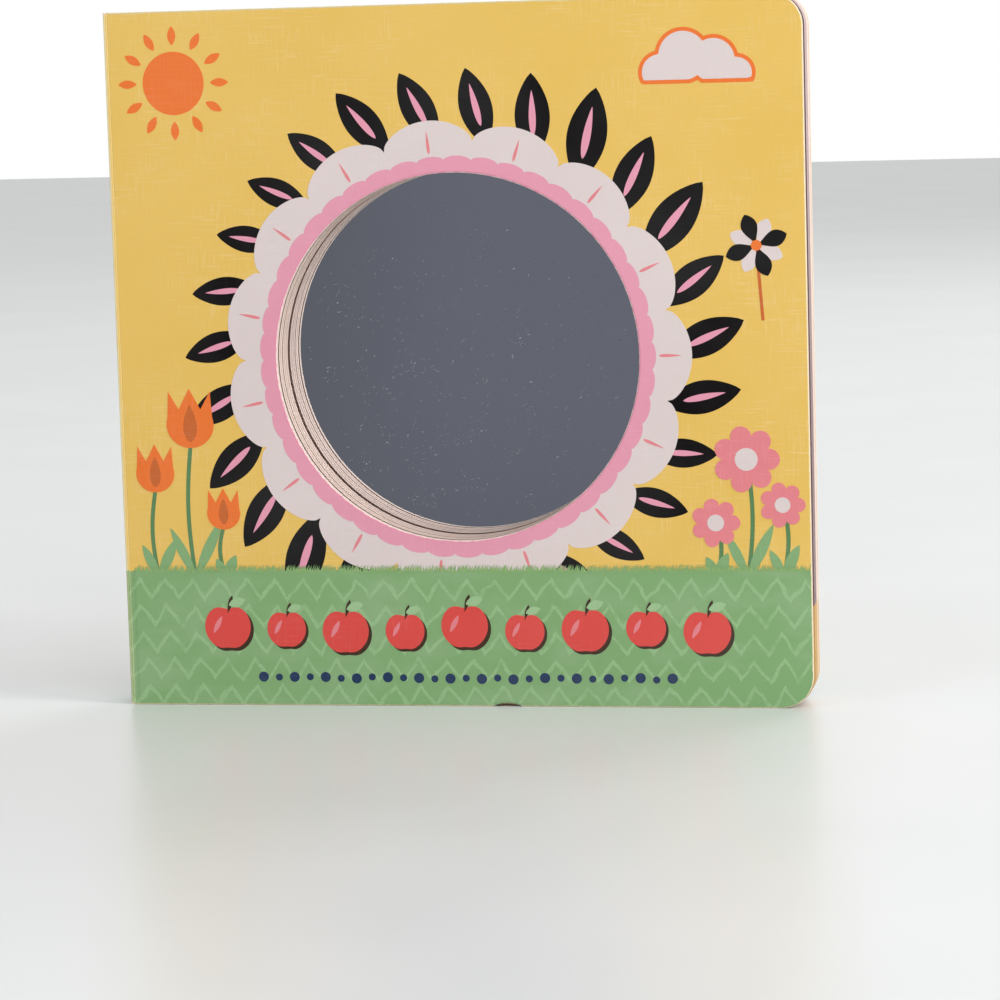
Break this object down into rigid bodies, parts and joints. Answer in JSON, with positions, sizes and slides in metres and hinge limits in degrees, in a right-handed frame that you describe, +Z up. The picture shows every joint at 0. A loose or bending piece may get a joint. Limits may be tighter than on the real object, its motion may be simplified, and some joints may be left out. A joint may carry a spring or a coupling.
{
  "type": "board book",
  "caption": "Square board book with rounded fore-edge corners and a round window through cover and leaves to a mirror in the back cover.",
  "frame": {"origin": "under the middle of the closed book, on the surface that its lower edge stands on", "axes": "+X from the spine to the fore edge, +Y from the front cover to the back cover, +Z up the cover"},
  "size_m": [0.2002, 0.0168, 0.2005],
  "materials": {
    "front_board": "satin laminated print, warm yellow field over a green band",
    "spine_board": "satin laminated print",
    "leaf_board": "cut board edges, matte",
    "back_board": "satin laminated print",
    "mirror_sheet": "plastic mirror with fine dust and short scratches"
  },
  "bodies": {
    "leaves": {"spine": "spine_board", "page_block": "leaf_board"},
    "front": {"front_cover": "front_board"},
    "back": {"back_cover": "back_board", "mirror": "mirror_sheet"}
  },
  "joints": [
    {"name": "front_cover_hinge", "type": "hinge", "parent": "leaves", "child": "front", "pos_m": [-0.09885, -0.00845, 0.1005], "axis": [0, 0, -1], "range_deg": [0, 175]},
    {"name": "back_cover_hinge", "type": "hinge", "parent": "leaves", "child": "back", "pos_m": [-0.09885, 0.00845, 0.1005], "axis": [0, 0, 1], "range_deg": [0, 175]}
  ]
}
